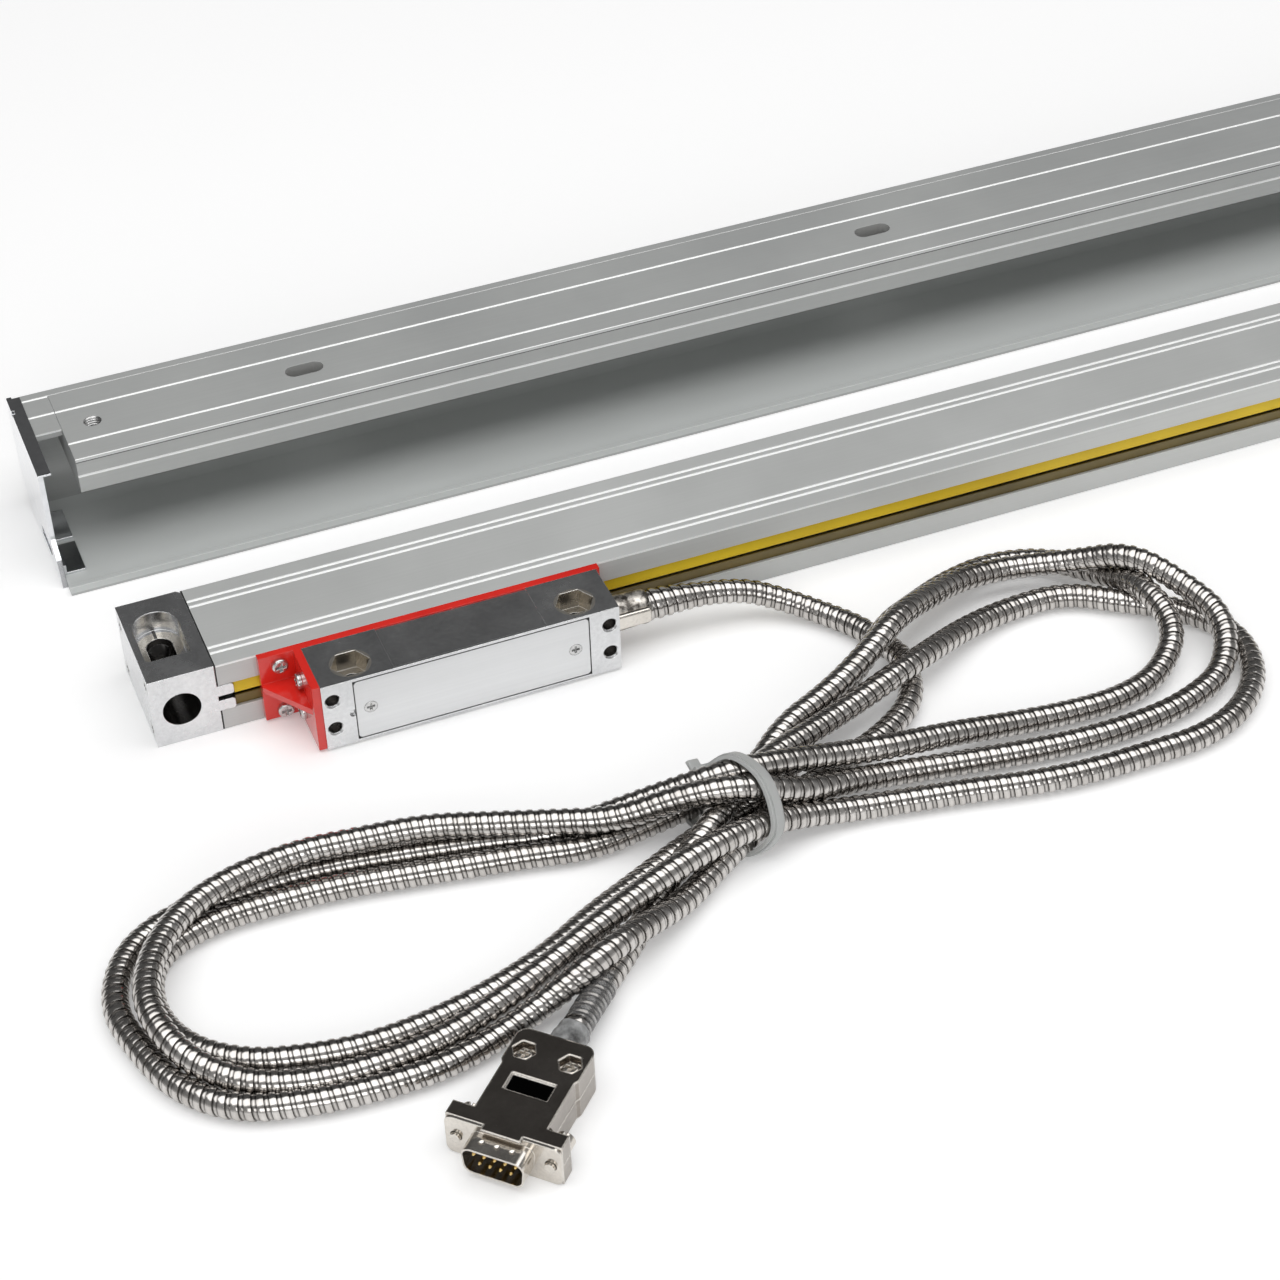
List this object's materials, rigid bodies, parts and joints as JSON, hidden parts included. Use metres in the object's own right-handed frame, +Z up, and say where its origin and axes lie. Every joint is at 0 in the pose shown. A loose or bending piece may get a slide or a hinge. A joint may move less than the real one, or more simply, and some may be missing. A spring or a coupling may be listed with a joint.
{
  "type": "linear glass scale",
  "caption": "Linear glass scale encoder: slotted housing with end blocks, sliding reader head on an armoured cable with a D plug, red shipping bracket, and its dust cover with mounting spar.",
  "frame": {"origin": "centre of the left end block's vertical mounting bore, at the block's bottom face", "axes": "+X along the scale to the right end block, +Y away from the reader head, +Z up out of the table"},
  "size_m": [0.5952, 0.3252, 0.0356],
  "materials": {
    "anodised_profile": "satin",
    "cast_blocks": "satin",
    "machined_aluminium": "satin",
    "screw_steel": "satin",
    "stainless_hose": "polished",
    "nickel_plate": "polished",
    "chrome_cap": "polished",
    "red_plastic": "gloss",
    "yellow_rubber": "satin",
    "olive_rubber": "matte",
    "black_rubber": "matte",
    "scale_glass": "polished",
    "circuit_board": "satin",
    "grating_glass": "polished",
    "black_plastic": "matte",
    "contact_gold": "polished",
    "tie_nylon": "satin",
    "sleeve_grey": "satin",
    "wire_insulation": "satin",
    "spring_steel": "satin"
  },
  "bodies": {
    "scale": {"housing": "anodised_profile", "glass_scale": "scale_glass", "glass_seat_strip": "black_rubber", "upper_lip_seal": "yellow_rubber", "lower_lip_seal": "olive_rubber", "left_end_block": "cast_blocks", "right_end_block": "cast_blocks", "left_end_gasket": "black_rubber", "right_end_gasket": "black_rubber", "left_end_screws": "screw_steel", "right_end_screws": "screw_steel", "shipping_bracket": "red_plastic", "bracket_body_screws": "screw_steel", "bracket_head_screws": "screw_steel", "cover_hood": "anodised_profile", "mounting_spar": "anodised_profile", "spar_screws": "screw_steel", "left_end_cap": "chrome_cap", "right_end_cap": "chrome_cap"},
    "reader_head": {"head_block": "cast_blocks", "head_cover_plate": "machined_aluminium", "cover_plate_seal": "black_rubber", "cover_plate_screws": "screw_steel", "head_board": "circuit_board", "cable_core": "wire_insulation", "coupling_arm": "machined_aluminium", "arm_spring": "spring_steel", "carriage_frame": "machined_aluminium", "bearing_pins": "screw_steel", "led_board": "circuit_board", "sensor_board": "circuit_board", "index_grating": "grating_glass", "cable_gland": "nickel_plate", "cable_gland_run": "stainless_hose", "cable_hank": "stainless_hose", "cable_plug_run": "stainless_hose", "cable_tie": "tie_nylon", "plug_sleeve": "sleeve_grey", "plug_hood_upper": "nickel_plate", "plug_hood_lower": "nickel_plate", "hood_screws": "screw_steel", "plug_shell": "nickel_plate", "plug_insulator": "black_plastic", "plug_contacts": "contact_gold"},
    "face_bearing_left": {"face_bearing_left": "screw_steel"},
    "face_bearing_right": {"face_bearing_right": "screw_steel"},
    "face_bearing_middle": {"face_bearing_middle": "screw_steel"},
    "edge_bearing_left": {"edge_bearing_left": "screw_steel"},
    "edge_bearing_right": {"edge_bearing_right": "screw_steel"},
    "left_jackscrew": {"left_jackscrew": "nickel_plate"},
    "right_jackscrew": {"right_jackscrew": "nickel_plate"}
  },
  "joints": [
    {"name": "reader_slide", "type": "slide", "parent": "scale", "child": "reader_head", "axis": [1, 0, 0], "range_m": [0, 0.38]},
    {"name": "face_bearing_left_spin", "type": "hinge", "parent": "reader_head", "child": "face_bearing_left", "pos_m": [0.055, -0.0055, 0.01075], "axis": [0, 0, 1], "range_deg": [0, 8709]},
    {"name": "face_bearing_right_spin", "type": "hinge", "parent": "reader_head", "child": "face_bearing_right", "pos_m": [0.103, -0.0055, 0.01075], "axis": [0, 0, 1], "range_deg": [0, 8709]},
    {"name": "face_bearing_middle_spin", "type": "hinge", "parent": "reader_head", "child": "face_bearing_middle", "pos_m": [0.064, -0.0055, 0.01075], "axis": [0, 0, 1], "range_deg": [0, 8709]},
    {"name": "edge_bearing_left_spin", "type": "hinge", "parent": "reader_head", "child": "edge_bearing_left", "pos_m": [0.062, -0.00085, 0.006], "axis": [0, -1, 0], "range_deg": [0, 8709]},
    {"name": "edge_bearing_right_spin", "type": "hinge", "parent": "reader_head", "child": "edge_bearing_right", "pos_m": [0.096, -0.00085, 0.006], "axis": [0, -1, 0], "range_deg": [0, 8709]},
    {"name": "left_jackscrew_turn", "type": "hinge", "parent": "reader_head", "child": "left_jackscrew", "pos_m": [0.02136, -0.19396, 0.00625], "axis": [0.7071, 0.7071, 0], "continuous": true},
    {"name": "right_jackscrew_turn", "type": "hinge", "parent": "reader_head", "child": "right_jackscrew", "pos_m": [0.03904, -0.21163, 0.00625], "axis": [0.7071, 0.7071, 0], "continuous": true}
  ],
  "couplings": [
    {"joint": "face_bearing_left_spin", "follows": "reader_slide", "rad_per_m": 400},
    {"joint": "face_bearing_right_spin", "follows": "reader_slide", "rad_per_m": 400},
    {"joint": "face_bearing_middle_spin", "follows": "reader_slide", "rad_per_m": 400},
    {"joint": "edge_bearing_left_spin", "follows": "reader_slide", "rad_per_m": 400},
    {"joint": "edge_bearing_right_spin", "follows": "reader_slide", "rad_per_m": 400}
  ]
}
